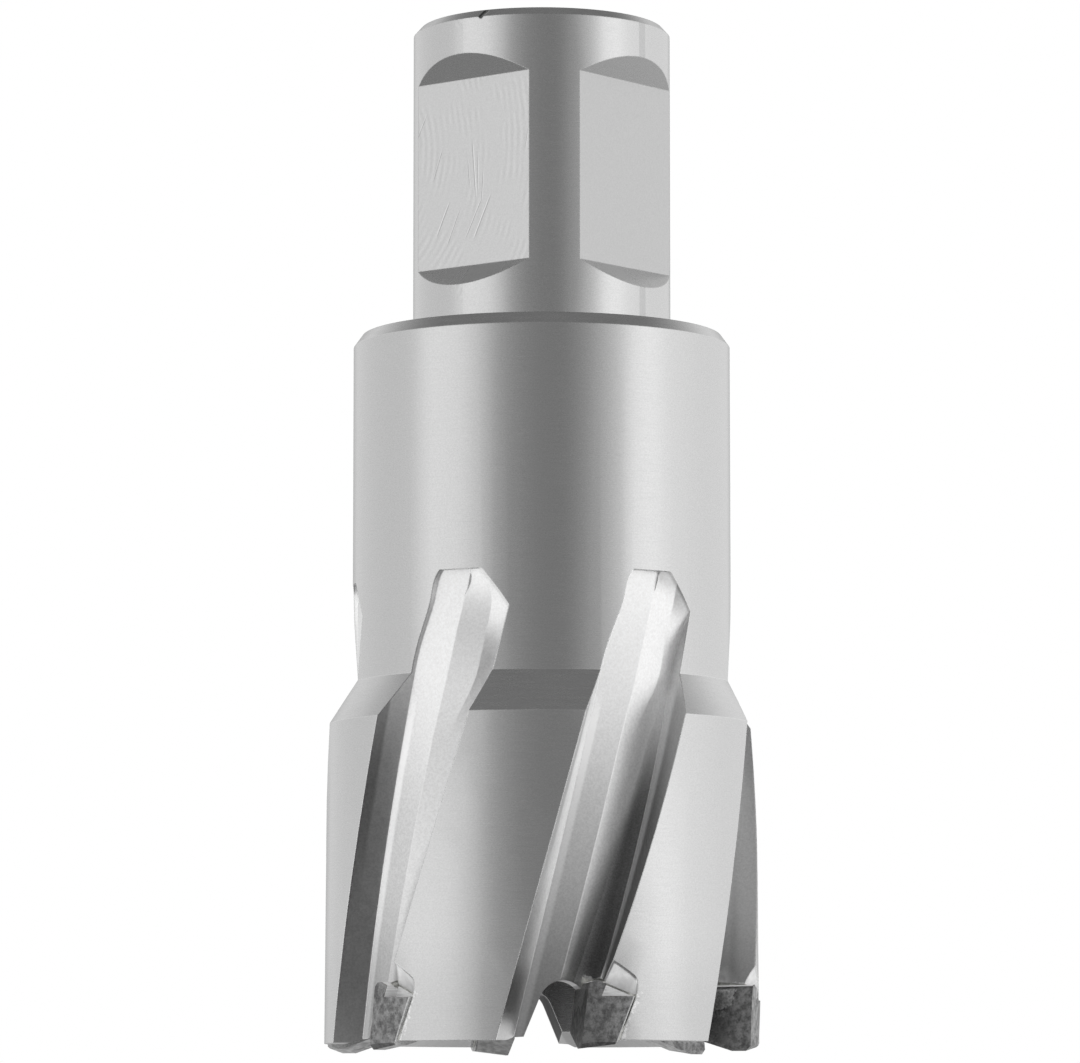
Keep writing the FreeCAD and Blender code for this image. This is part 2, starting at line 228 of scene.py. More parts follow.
def make_floor():
    """A pale floor that isn't seen from below, because the camera stands lower than the tips."""
    half = FLOOR_SIZE / 2
    corners = [(-half, -half, 0), (half, -half, 0), (half, half, 0), (-half, half, 0)]
    mesh = bpy.data.meshes.new("floor")
    mesh.from_pydata(corners, [], [(0, 1, 2, 3)])
    floor = bpy.data.objects.new("floor", mesh)
    bpy.context.scene.collection.objects.link(floor)
    floor.location.z = cad_low.z

    material = bpy.data.materials.new("floor")
    material.use_nodes = True
    tree = material.node_tree
    tree.nodes.clear()
    diffuse = add_node(tree, "ShaderNodeBsdfDiffuse", {"Color": FLOOR_COLOUR})
    clear = add_node(tree, "ShaderNodeBsdfTransparent")
    below = tree.nodes.new("ShaderNodeNewGeometry").outputs["Backfacing"]
    choice = add_node(tree, "ShaderNodeMixShader", {0: below, 1: diffuse.outputs[0], 2: clear.outputs[0]})
    add_node(tree, "ShaderNodeOutputMaterial", {"Surface": choice.outputs[0]})
    mesh.materials.append(material)
    floor.visible_glossy = False


# The room as the steel sees it near the horizon: brightness by the direction in degrees, which is 0
# towards the camera and grows to the right. A dark camera side lies between two soft lamps.
ROOM_ROUND = (
    (-180, 0.38), (-168, 0.55), (-154, 0.86), (-100, 0.8), (-86, 0.8), (-74, 1.14), (-50, 1.07),
    (-38, 0.82), (-25, 0.42), (-10, 0.29), (0, 0.25), (14, 0.24), (26, 0.36), (38, 0.6), (50, 0.85),
    (56, 1.25), (70, 1.32), (86, 1.1), (121, 1.0), (154, 0.93), (168, 0.58), (180, 0.38),
)
# The same a little lower down, where a bench stands on both sides of the dark camera side.
BENCH_ROUND = (
    (-180, 0.9), (-100, 1.0), (-60, 1.3), (-35, 1.2), (-14, 0.3), (0, 0.07), (36, 0.03), (58, 0.6),
    (80, 1.3), (110, 1.3), (151, 0.9), (180, 0.9),
)
BENCH_START = -5
BENCH_FULL = -18
# Further up and down the brightness changes to one level all round, between two heights in degrees.
ROOM_LAYERS = (
    ("below", -28, -42, 0.28),
    ("ceiling", 25, 58, 0.2),
)
DIFFUSE_LEVEL = 1.0
BACKDROP_LEVEL = 1.0


def between_heights(tree, rise, start, end):
    """0 to 1 as a direction's height goes from one angle to another, in degrees."""
    return smooth_step(tree, rise, math.sin(math.radians(start)), math.sin(math.radians(end)))


def make_world():
    world = bpy.data.worlds.new("studio")
    bpy.context.scene.world = world
    world.use_nodes = True
    tree = world.node_tree
    tree.nodes.clear()
    direction = tree.nodes.new("ShaderNodeTexCoord").outputs["Generated"]
    x, y, rise = add_node(tree, "ShaderNodeSeparateXYZ", {0: direction}).outputs
    turn = calculate(tree, "ARCTAN2", x, multiply(tree, y, -1.0))
    share = straight_step(tree, turn, -math.pi, math.pi)
    room, bench = [curve_of(tree, share, [(0.5 + degrees / 360, level) for degrees, level in stops])
                   for stops in (ROOM_ROUND, BENCH_ROUND)]
    room = colour_mix(tree, between_heights(tree, rise, BENCH_START, BENCH_FULL), room, bench)
    for name, start, end, level in ROOM_LAYERS:
        amount = between_heights(tree, rise, start, end)
        amount.node.label = name
        room = colour_mix(tree, amount, room, grey(level))

    rays = tree.nodes.new("ShaderNodeLightPath").outputs
    seen = colour_mix(tree, rays["Is Glossy Ray"], grey(DIFFUSE_LEVEL), room)
    shown = colour_mix(tree, rays["Is Camera Ray"], seen, grey(BACKDROP_LEVEL))
    background = add_node(tree, "ShaderNodeBackground", {"Color": shown, "Strength": 1.0})
    add_node(tree, "ShaderNodeOutputWorld", {"Surface": background.outputs[0]})


# Materials. Below, a group of numbers is a step: where it starts and ends, and then the levels there, if
# they aren't 0 and 1. A noise has a scale, a detail and a roughness. Places are in millimetres.
NOISE_MIDDLE = (0.35, 0.65)
NOISE_SPREAD = (0.3, 0.7)


def start_material(name):
    material = bpy.data.materials.new(name)
    material.use_nodes = True
    tree = material.node_tree
    tree.nodes.clear()
    shader = tree.nodes.new("ShaderNodeBsdfPrincipled")
    add_node(tree, "ShaderNodeOutputMaterial", {"Surface": shader.outputs[0]})
    return material, tree, shader


def own_place(tree):
    """The place on the cutter, from the object's own coordinates, in millimetres."""
    own = tree.nodes.new("ShaderNodeTexCoord").outputs["Object"]
    return add_node(tree, "ShaderNodeVectorMath", {0: own, "Scale": 1 / MM}, operation="SCALE").outputs[0]


def round_places(tree, place):
    """A place's height, its radius, and its angle round the axis in radians."""
    x, y, height = add_node(tree, "ShaderNodeSeparateXYZ", {0: place}).outputs
    radius = measured(tree, joined(tree, x, y), "LENGTH")
    angle = calculate(tree, "ARCTAN2", x, multiply(tree, y, -1.0))
    return height, radius, angle


def stretched(tree, first, second, along, across):
    """Coordinates that are long along the first value and fine across it, for marks that run that way."""
    return joined(tree, multiply(tree, first, along), 0.0, multiply(tree, second, across))


def facing(tree, direction):
    """How far the surface faces a direction, from -1 to 1."""
    normal = tree.nodes.new("ShaderNodeNewGeometry").outputs["Normal"]
    return measured(tree, normal, "DOT_PRODUCT", direction)


def facing_round(tree, angle):
    """How far the surface faces round the axis, from -1 on a rake wall to 1 on a heel."""
    return facing(tree, joined(tree, calculate(tree, "COSINE", angle), calculate(tree, "SINE", angle)))


def facing_out(tree, angle):
    """How far the surface faces away from the axis, from -1 to 1."""
    towards_front = multiply(tree, calculate(tree, "COSINE", angle), -1.0)
    return facing(tree, joined(tree, calculate(tree, "SINE", angle), towards_front))


def leaning_axes(angle, slant):
    """The directions back into a tooth and up along it, in a frame turned by the angle and the slant."""
    turn = math.radians(angle)
    lean = math.radians(slant)
    back = (math.cos(lean) * math.cos(turn), math.cos(lean) * math.sin(turn), -math.sin(lean))
    up = (math.sin(lean) * math.cos(turn), math.sin(lean) * math.sin(turn), math.cos(lean))
    return back, up


def tooth_place(tree, height, radius, angle):
    """A place on any tooth, turned round to where the measured tooth stands."""
    pitch = 2 * math.pi / TOOTH_COUNT
    middle = math.radians(TIP_ANGLE)
    turned = calculate(tree, "WRAP", angle, middle + pitch / 2, middle - pitch / 2)
    x = multiply(tree, radius, calculate(tree, "SINE", turned))
    y = multiply(tree, radius, calculate(tree, "COSINE", turned), -1.0)
    return joined(tree, x, y, height)


def tip_places(tree, height, radius, angle):
    """How far a place is behind the front of its tooth's tip, and how far it is along the tip."""
    place = tooth_place(tree, subtract(tree, height, TIP_PIVOT_HEIGHT), radius, angle)
    return [measured(tree, place, "DOT_PRODUCT", axis) for axis in leaning_axes(TIP_ANGLE, TIP_SLANT)]


def behind_rake_face(tree, height, radius, angle):
    """How far a place is behind the plane of its tooth's rake face."""
    back = leaning_axes(RAKE_FACE_ANGLE, RAKE_FACE_SLANT)[0]
    return measured(tree, tooth_place(tree, height, radius, angle), "DOT_PRODUCT", back)


# Where the steel changes: the flutes, the sides of the windows between the teeth, the core and the flats.
FLUTE_DEPTH = (0.05, 0.15)
FLUTE_INSIDE = (CORE_RADIUS + 0.1, CORE_RADIUS + 0.2)
FLUTE_END = (FLUTE_TOP + 0.1, FLUTE_TOP + 0.2, 1.0, 0.0)
WINDOW_FACING_OUT = (0.6, 0.3)
WINDOW_FACING_DOWN = (0.9, 0.7)
WINDOW_INSIDE = (CORE_RADIUS + 0.02, CORE_RADIUS + 0.05)
WINDOW_OUTSIDE = (13.8, 13.4)
WINDOW_END = (5.8, 5.2)
CORE_OUTSIDE = (CORE_RADIUS + 0.15, CORE_RADIUS + 0.05)
CORE_END = (CORE_TOP + 1.0, CORE_TOP)
FLATS_START = (SHOULDER_HEIGHT + 0.5, SHOULDER_HEIGHT + 0.6)
FLAT_FACING = (0.9990, 0.9995)


def flute_mask(tree, height, radius):
    """1 on the milled flutes, which lie under the turned outline and outside the core."""
    land = straight_step(tree, height, 0.0, LAND_HEIGHT, LAND_FOOT_RADIUS - LAND_RADIUS, 0.0)
    cone = straight_step(tree, height, LAND_HEIGHT, CONE_TOP, LAND_RADIUS, BODY_RADIUS)
    depth = subtract(tree, add(tree, land, cone), radius)
    return multiply(tree, smooth_step(tree, depth, *FLUTE_DEPTH), smooth_step(tree, radius, *FLUTE_INSIDE),
                    smooth_step(tree, height, *FLUTE_END))


def window_mask(tree, height, radius, angle):
    """1 on the cut sides of the windows between the teeth."""
    side = smooth_step(tree, facing_out(tree, angle), *WINDOW_FACING_OUT)
    upright = smooth_step(tree, facing(tree, DOWN), *WINDOW_FACING_DOWN)
    reach = multiply(tree, smooth_step(tree, radius, *WINDOW_INSIDE),
                     smooth_step(tree, radius, *WINDOW_OUTSIDE))
    return multiply(tree, side, upright, reach, smooth_step(tree, height, *WINDOW_END))


def core_mask(tree, height, radius):
    return multiply(tree, smooth_step(tree, radius, *CORE_OUTSIDE), smooth_step(tree, height, *CORE_END))


def flat_masks(tree, height):
    """1 on each milled flat of the shank."""
    high = smooth_step(tree, height, *FLATS_START)
    masks = []
    for angle in FLAT_ANGLES:
        turn = math.radians(angle)
        faces = smooth_step(tree, facing(tree, (math.sin(turn), -math.cos(turn), 0.0)), *FLAT_FACING)
        masks.append(multiply(tree, faces, high))
    return masks


# Marks on the left flat, as places across it and up it from the flat's middle line and its low end, and
# each mark's width.
FLAT_SCRATCHES = (
    ((-0.1, 9.4), (0.3, 4.6), 0.12),
    ((0.4, 8.6), (0.5, 5.0), 0.09),
    ((-0.5, 8.0), (-0.3, 5.6), 0.08),
    ((1.0, 7.2), (0.8, 4.4), 0.08),
    ((-3.6, 2.2), (-2.2, 5.0), 0.13),
    ((-0.1, 1.6), (1.8, 5.3), 0.13),
    ((-0.9, 1.7), (0.9, 5.0), 0.1),
    ((-2.6, 1.4), (-1.2, 4.4), 0.09),
    ((-3.9, 6.4), (-2.9, 9.0), 0.09),
    ((-5.6, 9.5), (-4.4, 11.7), 0.09),
    ((5.2, 9.5), (4.95, 8.0), 0.07),
)
SCRATCH_END_SHARE = 0.12
# The milling cutter's arcs on the same flat: their middle, how far apart they are, and how uneven.
ARC_MIDDLE = (-13.0, 9.0, 0.0)
ARC_SPACING = 0.55
ARC_WOBBLE = 0.4
ARC_WOBBLE_NOISE = (0.6, 2.0)
ARC_PATCH_NOISE = (0.35, 2.0)
ARC_PATCHES = (0.42, 0.62)
ARC_STRENGTH = 0.18
# A small dent in the chamfer at the shank's end: degrees round the axis and millimetres of height.
DENT_START = (-28.6, 74.95)
DENT_END = (-25.6, 75.85)
DENT_WIDTH = 0.3
DENT_RADII = (SHANK_RADIUS - 0.7, SHANK_RADIUS - 0.5)


def scratch(tree, place, start, end, width, paired=False):
    """1 on a thin straight mark between two places, which thins out at its ends.

    A paired mark is a furrow: -1 along one side of its line and 1 along the other.
    """
    run = Vector(end) - Vector(start)
    length = run.length
    along_way = (run / length).to_3d()
    across_way = Vector((-along_way.y, along_way.x, 0.0))
    first = Vector(start).to_3d()
    along = subtract(tree, measured(tree, place, "DOT_PRODUCT", along_way), first.dot(along_way))
    across = subtract(tree, measured(tree, place, "DOT_PRODUCT", across_way), first.dot(across_way))
    if paired:
        thin = calculate(tree, "SINE", smooth_step(tree, across, -width, width, -math.pi, math.pi))
    else:
        thin = smooth_step(tree, calculate(tree, "ABSOLUTE", across), 0.0, width, 1.0, 0.0)
    soft = SCRATCH_END_SHARE * length
    return multiply(tree, thin, band(tree, along, soft, length - soft, soft))


def flat_marks(tree, place, height, mask):
    """Milling arcs and scratches on the left flat, as a relief and as painted light and shade along their
    sides.
    """
    turn = math.radians(FLAT_ANGLES[0])
    across = measured(tree, place, "DOT_PRODUCT", (math.cos(turn), math.sin(turn), 0.0))
    own = joined(tree, across, subtract(tree, height, FLAT_LOW))
    away = measured(tree, own, "DISTANCE", ARC_MIDDLE)
    wobble = multiply(tree, noise(tree, own, *ARC_WOBBLE_NOISE), ARC_WOBBLE)
    wave = calculate(tree, "SINE", multiply(tree, add(tree, away, wobble), 2 * math.pi / ARC_SPACING))
    patches = smooth_step(tree, noise(tree, own, *ARC_PATCH_NOISE), *ARC_PATCHES)
    lines = multiply(tree, wave, patches, ARC_STRENGTH)
    for start, end, width in FLAT_SCRATCHES:
        lines = add(tree, lines, scratch(tree, own, start, end, width, paired=True))
    return multiply(tree, lines, mask)


def dent_mark(tree, height, radius, angle):
    """1 in the dent in the chamfer at the shank's end."""
    around = multiply(tree, angle, SHANK_RADIUS)
    start, end = [(math.radians(turn) * SHANK_RADIUS, level) for turn, level in (DENT_START, DENT_END)]
    mark = scratch(tree, joined(tree, around, height), start, end, DENT_WIDTH)
    return multiply(tree, mark, smooth_step(tree, radius, *DENT_RADII))


# How far each flute's edges turn, in degrees and degrees a millimetre: the rake wall's edge and the foot of
# the wall behind the last tooth, which is the heel.
RAKE_START = 9.5
RAKE_RATE = 1.48
RAKE_BEND = 0.0076
HEEL_START = -9.1
HEEL_RATE = 1.01
# A flute has painted shade beside its rake wall, where shade falls in the crease, over a width that shrinks
# with height, and painted shade on the rims of its walls.
WALL_FACING = (-0.45, -0.7)
WALL_END = (28.0, 24.0)
WALL_RIM = (13.4, 14.3)
WALL_RIM_SHADE = 0.65
DARK_WIDTH = (6.0, 22.0, -4.5, -0.9)
DARK_RADII = (13.5, 13.2)
DARK_OFF_WALL = (0.5, 0.0)
DARK_END = (27.0, 15.0)
DARK_START = (2.0, 6.0)
DARK_SHADE = 0.25
HEEL_FACING = (0.4, 0.6)
HEEL_RIM = (14.8, 15.2)
HEEL_RIM_START = (6.0, 22.0)
HEEL_RIM_SHADE = 0.6
# The painted highlight along the heel: how far from its foot it starts and ends, and how soft it is.
HEEL_HIGHLIGHT_BAND = (0.05, 0.6, 0.15)
HEEL_HIGHLIGHT_END = (26.0, 22.0)


def distance_round(tree, angle, radius, edge):
    """How far round from an edge's angle, counted from the nearest tooth's edge."""
    half = math.pi / TOOTH_COUNT
    return multiply(tree, calculate(tree, "WRAP", subtract(tree, angle, edge), half, -half), radius)


def flute_shades(tree, height, radius, angle):
    """The painted shade of a flute by place, where its rake wall is, and the painted highlight along its
    heel.
    """
    bend = multiply(tree, height, height, -math.radians(RAKE_BEND))
    rake = calculate(tree, "MULTIPLY_ADD", height, math.radians(RAKE_RATE), bend)
    rake = add(tree, rake, math.radians(RAKE_START))
    heel = calculate(tree, "MULTIPLY_ADD", height, math.radians(HEEL_RATE), math.radians(HEEL_START))
    from_rake = distance_round(tree, angle, radius, rake)
    back = facing_round(tree, angle)
    wall = smooth_step(tree, back, *WALL_FACING)
    width = smooth_step(tree, height, *DARK_WIDTH)
    # Painted shade in the crease beside the rake wall, and below it on the rims of the rake wall and the
    # heel.
    crease_shade = multiply(tree, smooth_step(tree, from_rake, width, 0.0), smooth_step(tree, radius, *DARK_RADII),
                    smooth_step(tree, wall, *DARK_OFF_WALL), smooth_step(tree, height, *DARK_END),
                    smooth_step(tree, height, *DARK_START))
    wall = multiply(tree, wall, smooth_step(tree, height, *WALL_END))
    shaded_wall_rim = multiply(tree, wall, smooth_step(tree, radius, *WALL_RIM))
    shaded_heel_rim = multiply(tree, smooth_step(tree, back, *HEEL_FACING), smooth_step(tree, radius, *HEEL_RIM),
                        smooth_step(tree, height, *HEEL_RIM_START))
    shade = multiply(tree, factor_on(tree, crease_shade, DARK_SHADE), factor_on(tree, shaded_wall_rim, WALL_RIM_SHADE),
                     factor_on(tree, shaded_heel_rim, HEEL_RIM_SHADE))
    # A painted highlight along the foot of the heel wall.
    line = band(tree, distance_round(tree, angle, radius, heel), *HEEL_HIGHLIGHT_BAND)
    return shade, wall, multiply(tree, line, smooth_step(tree, height, *HEEL_HIGHLIGHT_END))


# Fine lines: how dense they are along and across, and the share of the mottling between the flutes' lines.
LINE_NOISE = (1.0, 3.0, 0.6)
ROUND_LINES = (6.0, 14.0)
FLUTE_LINES = (0.6, 60.0)
MOTTLE_SHARE = 0.6
MOTTLE_NOISE = (5.0, 4.0, 0.7)
SPECKLE_NOISE = (9.0, 2.0, 0.7)
# Greys of the steel as reflectance: ground faces, flutes from their low part to their top, and factors. The
# flutes are lighter at the top as a painted highlight, and they and all the steel are darker low down as
# painted shade.
GROUND_TONE = 0.62
SPECKLE_TONES = (-0.03, 0.03)
MOTTLE_TONES = (-0.05, 0.05)
FLUTE_TOP_HIGHLIGHT_TONES = (16.0, 28.0, 0.74, 0.9)
FLUTE_FOOT_SHADE_TONES = (4.0, 13.0, 0.75, 1.0)
LOW_SHADE_TONES = (2.0, 9.0, 0.9, 1.0)
HEEL_HIGHLIGHT_TONE = 0.25
CORE_TONE = 0.8
RIGHT_FLAT_TONE = 0.87
WINDOW_TONE = 0.15
# Painted light and shade along the sides of the flat's marks, on top of their relief.
MARK_LIGHT_AND_SHADE_TONE = 0.18
DENT_TONES = (0.05, 0.5, 1.0, 0.2)
# Sharp edges are rounded for the light, and lighter on the body, as wear and as a painted highlight, and
# darker on the shank.
EDGE_RADIUS = 0.1
EDGE_SAMPLES = 4
EDGE_BEND = (0.995, 0.93)
EDGE_TONES = (SHOULDER_HEIGHT - 1.5, SHOULDER_HEIGHT, 0.18, -0.12)


def steel_lines(tree, height, radius, angle, flutes, mottle):
    """Fine grinding lines that run round everything turned, and along the flutes."""
    round_lines = noise(tree, stretched(tree, angle, add(tree, height, radius), *ROUND_LINES), *LINE_NOISE)
    across_flute = subtract(tree, angle, multiply(tree, height, HELIX_RATE))
    flute_lines = noise(tree, stretched(tree, height, across_flute, *FLUTE_LINES), *LINE_NOISE)
    milled = colour_mix(tree, MOTTLE_SHARE, flute_lines, mottle)
    return colour_mix(tree, flutes, round_lines, milled)


def flute_grey_and_painted_light(tree, height, mottle, shade, painted_heel_highlight):
    """Coarse mottling in the flutes, which are lighter towards their tops as a painted highlight and darker
    low down as painted shade.
    """
    tone = add(tree, smooth_step(tree, mottle, *NOISE_MIDDLE, *MOTTLE_TONES),
               smooth_step(tree, height, *FLUTE_TOP_HIGHLIGHT_TONES))
    tone = multiply(tree, tone, smooth_step(tree, height, *FLUTE_FOOT_SHADE_TONES), shade)
    return add(tree, tone, multiply(tree, painted_heel_highlight, HEEL_HIGHLIGHT_TONE))


def edge_wear_and_highlight(tree, height, rounded):
    """What the edges add to the grey: wear and a painted highlight on the body, and darkening on the shank.
    """
    edge = smooth_step(tree, facing(tree, rounded), *EDGE_BEND)
    return multiply(tree, edge, smooth_step(tree, height, *EDGE_TONES))


# Braze that has run on to the steel: how far beyond the tip, its edge, and where it starts and ends.
RUN_LUMP_NOISE = (1.8, 3.0, 0.6)
RUN_SPREAD = (0.15, 0.5)
RUN_EDGE = (0.0, 0.12, 1.0, 0.0)
RUN_FRONT = (-1.2, -0.6)
RUN_END = (7.0, 6.0)
RUN_NOISE = (4.0, 4.0, 0.6)
RUN_SHARE = 0.8
BRAZE_TONES = (0.45, 0.8)
# The ramps above the tips carry a painted highlight: a grey lighter than bare steel, with little metal, so
# that they look bright from every side.
RAMP_REACH = (0.25, TIP_THICKNESS + 0.3, 0.1)
RAMP_END = (7.4, 7.0)
RAMP_HIGHLIGHT_TONES = (0.86, 0.98)
RAMP_HIGHLIGHT_FOOT_TONES = (4.2, 5.4, 0.7, 1.0)
RAMP_METALLIC = 0.12


def braze_run(tree, height, behind, along, lumps):
    """1 where braze has run on to the steel, in a lumpy line behind each tip and above it."""
    spread = smooth_step(tree, lumps, *NOISE_SPREAD, *RUN_SPREAD)
    beside = subtract(tree, behind, TIP_THICKNESS, spread)
    above = subtract(tree, along, TIP_REACH, spread)
    run = smooth_step(tree, calculate(tree, "MAXIMUM", beside, above), *RUN_EDGE)
    return multiply(tree, run, smooth_step(tree, behind, *RUN_FRONT), smooth_step(tree, height, *RUN_END))


def ramp_mask(tree, height, behind, flutes):
    return multiply(tree, flutes, band(tree, behind, *RAMP_REACH), smooth_step(tree, height, *RAMP_END))


def ramp_highlight_grey(tree, height, lumps):
    return multiply(tree, smooth_step(tree, lumps, *NOISE_MIDDLE, *RAMP_HIGHLIGHT_TONES),
                    smooth_step(tree, height, *RAMP_HIGHLIGHT_FOOT_TONES))


# How metallic the rake walls are at their foot and at their rim, and the core.
WALL_METALLIC = (0.5, 0.85)
CORE_METALLIC = 0.8
LINE_ROUGHNESS = (0.2, 0.8, 0.2, 0.3)
FLAT_ROUGHNESS = 0.08
FLUTE_ROUGHNESS = (20.0, 28.0, 0.08, 0.2)
WINDOW_ROUGHNESS = 0.3
# Reliefs, as a strength and a depth in millimetres, and the marks' shares of the coarse one.
FINE_RELIEF = (0.08, 0.01)
COARSE_RELIEF = (0.6, 0.02)
MARK_RELIEF = 0.7
DENT_RELIEF = -6.0


def steel_roughness(tree, height, lines, flats, flutes, window):
    sandy = smooth_step(tree, height, *FLUTE_ROUGHNESS)
    return add(tree, smooth_step(tree, lines, *LINE_ROUGHNESS), multiply(tree, flats, FLAT_ROUGHNESS),
               multiply(tree, flutes, sandy), multiply(tree, window, WINDOW_ROUGHNESS))


def steel_material():
    material, tree, shader = start_material("tool_steel")
    place = own_place(tree)
    height, radius, angle = round_places(tree, place)
    flutes = flute_mask(tree, height, radius)
    window = window_mask(tree, height, radius, angle)
    in_core = core_mask(tree, height, radius)
    left_flat, right_flat = flat_masks(tree, height)
    flats = calculate(tree, "ADD", left_flat, right_flat, clamp=True)
    marks = flat_marks(tree, place, height, left_flat)
    dent = dent_mark(tree, height, radius, angle)
    mottle = noise(tree, place, *MOTTLE_NOISE)
    lines = steel_lines(tree, height, radius, angle, flutes, mottle)
    shade, rake_wall, painted_heel_highlight = flute_shades(tree, height, radius, angle)
    rounded = add_node(tree, "ShaderNodeBevel", {"Radius": EDGE_RADIUS * MM}, samples=EDGE_SAMPLES).outputs[0]

    # Bare steel, with finer speckle on ground faces, painted shade and highlights in the flutes and low down,
    # edges lighter from wear and a painted highlight, and marks with painted light and shade along their
    # sides.
    speckle = smooth_step(tree, noise(tree, place, *SPECKLE_NOISE), *NOISE_SPREAD, *SPECKLE_TONES)
    in_flutes = flute_grey_and_painted_light(tree, height, mottle, shade, painted_heel_highlight)
    level = add(tree, speckle, colour_mix(tree, flutes, grey(GROUND_TONE), in_flutes))
    # Painted shade: all the steel is darker low down.
    level = multiply(tree, level, smooth_step(tree, height, *LOW_SHADE_TONES), factor_on(tree, in_core, CORE_TONE),
                     factor_on(tree, right_flat, RIGHT_FLAT_TONE), factor_on(tree, window, WINDOW_TONE))
    level = add(tree, level, edge_wear_and_highlight(tree, height, rounded), multiply(tree, marks, MARK_LIGHT_AND_SHADE_TONE))
    level = multiply(tree, level, smooth_step(tree, dent, *DENT_TONES))

    # Braze that has run on to the steel, and the painted highlight on the ramps above the tips.
    behind, along = tip_places(tree, height, radius, angle)
    lumps = noise(tree, place, *RUN_LUMP_NOISE)
    run = multiply(tree, braze_run(tree, height, behind, along, lumps), RUN_SHARE)
    run_tone = smooth_step(tree, noise(tree, place, *RUN_NOISE), *NOISE_MIDDLE, *BRAZE_TONES)
    level = colour_mix(tree, run, level, run_tone)
    ramp = ramp_mask(tree, height, behind, flutes)
    level = colour_mix(tree, ramp, level, ramp_highlight_grey(tree, height, lumps))
    set_input(tree, shader.inputs["Base Color"], level)

    wall = multiply(tree, rake_wall, factor_on(tree, window, 0.0), flutes)
    wall_metallic = smooth_step(tree, radius, *WALL_RIM, *WALL_METALLIC)
    metallic = multiply(tree, factor_on(tree, ramp, RAMP_METALLIC), factor_on(tree, wall, wall_metallic),
                        factor_on(tree, in_core, CORE_METALLIC))
    set_input(tree, shader.inputs["Metallic"], metallic)
    roughness = steel_roughness(tree, height, lines, flats, flutes, window)
    set_input(tree, shader.inputs["Roughness"], roughness)
    fine = relief(tree, lines, *FINE_RELIEF, Normal=rounded)
    furrows = add(tree, multiply(tree, marks, MARK_RELIEF), multiply(tree, dent, DENT_RELIEF))
    set_input(tree, shader.inputs["Normal"], relief(tree, furrows, *COARSE_RELIEF, Normal=fine))
    return material


# The hard metal's noises, and its greys: bare, wetted by braze, on the ramp as a painted highlight, at the
# rear, and underneath as painted light.
TIP_MOTTLE_NOISE = (1.8, 5.0, 0.65)
TIP_FINE_NOISE = (7.0, 4.0, 0.6)
TIP_TONES = (0.14, 0.3)
TIP_FINE_TONES = (-0.03, 0.04)
WETTED_TONES = (0.3, 0.58)
TIP_RAMP_HIGHLIGHT_TONES = (0.78, 0.98)
TIP_REAR_TONES = (0.5, 0.7)
LIT_UNDERSIDE_TONES = (0.36, 0.48)
TIP_METALLIC = 0.9
TIP_ROUGHNESS = (0.5, 0.3)
TIP_RELIEF = (0.4, 0.05)
# The slanting line above which braze has wetted the rake face: its height by the radius, and its edges.
WETTING_LINE = (13.8, 15.3, 2.7, 5.0)
WETTING_RAGGED = (-0.5, 0.5)
WETTING_EDGE = (-0.1, 0.15)
RAKE_FACE_DEPTH = (0.08, 0.03)
# The ramp on a tip starts above the ledge, and has streaks, given as their stretch.
LEDGE_EDGE = (LEDGE_HEIGHT - 0.02, LEDGE_HEIGHT + 0.04)
TIP_RAMP_OUTSIDE = (TIP_RADIUS - 0.02, TIP_RADIUS - 0.06)
TIP_RAMP_FRONT = (0.15, 0.25)
STREAKS = (1.0, 9.0)
TIP_REAR = (TIP_THICKNESS - 0.12, TIP_THICKNESS - 0.04)
UNDERSIDE_FACING = (0.7, 0.9)


def carbide_material():
    material, tree, shader = start_material("carbide")
    place = own_place(tree)
    height, radius, angle = round_places(tree, place)
    behind = tip_places(tree, height, radius, angle)[0]
    behind_rake = behind_rake_face(tree, height, radius, angle)
    mottle = noise(tree, place, *TIP_MOTTLE_NOISE)
    fine = noise(tree, place, *TIP_FINE_NOISE)
    streaks = noise(tree, stretched(tree, behind, height, *STREAKS), *LINE_NOISE)

    # Braze has wetted the rake face above a slanting line, and the ramp above the ledge has streaks and a
    # painted highlight.
    line = smooth_step(tree, radius, *WETTING_LINE)
    over = add(tree, subtract(tree, height, line), smooth_step(tree, mottle, *NOISE_SPREAD, *WETTING_RAGGED))
    front = smooth_step(tree, behind_rake, *RAKE_FACE_DEPTH)
    wetted = multiply(tree, smooth_step(tree, over, *WETTING_EDGE), front)
    ramp = multiply(tree, smooth_step(tree, height, *LEDGE_EDGE),
                    smooth_step(tree, radius, *TIP_RAMP_OUTSIDE),
                    smooth_step(tree, behind_rake, *TIP_RAMP_FRONT))
    rear = smooth_step(tree, behind, *TIP_REAR)
    # Painted light: the undersides of the tips are lighter, for the light from below.
    lit_underside = smooth_step(tree, facing(tree, DOWN), *UNDERSIDE_FACING)

    level = add(tree, smooth_step(tree, mottle, *NOISE_MIDDLE, *TIP_TONES),
                smooth_step(tree, fine, *NOISE_MIDDLE, *TIP_FINE_TONES))
    for mask, pattern, tones in ((wetted, fine, WETTED_TONES), (ramp, streaks, TIP_RAMP_HIGHLIGHT_TONES),
                                 (rear, fine, TIP_REAR_TONES), (lit_underside, mottle, LIT_UNDERSIDE_TONES)):
        level = colour_mix(tree, mask, level, smooth_step(tree, pattern, *NOISE_MIDDLE, *tones))
    set_input(tree, shader.inputs["Base Color"], level)
    less_metallic = calculate(tree, "MAXIMUM", ramp, rear)
    metallic = smooth_step(tree, less_metallic, 0.0, 1.0, TIP_METALLIC, RAMP_METALLIC)
    set_input(tree, shader.inputs["Metallic"], metallic)
    set_input(tree, shader.inputs["Roughness"], smooth_step(tree, mottle, *NOISE_SPREAD, *TIP_ROUGHNESS))
    set_input(tree, shader.inputs["Normal"], relief(tree, mottle, *TIP_RELIEF))
    return material


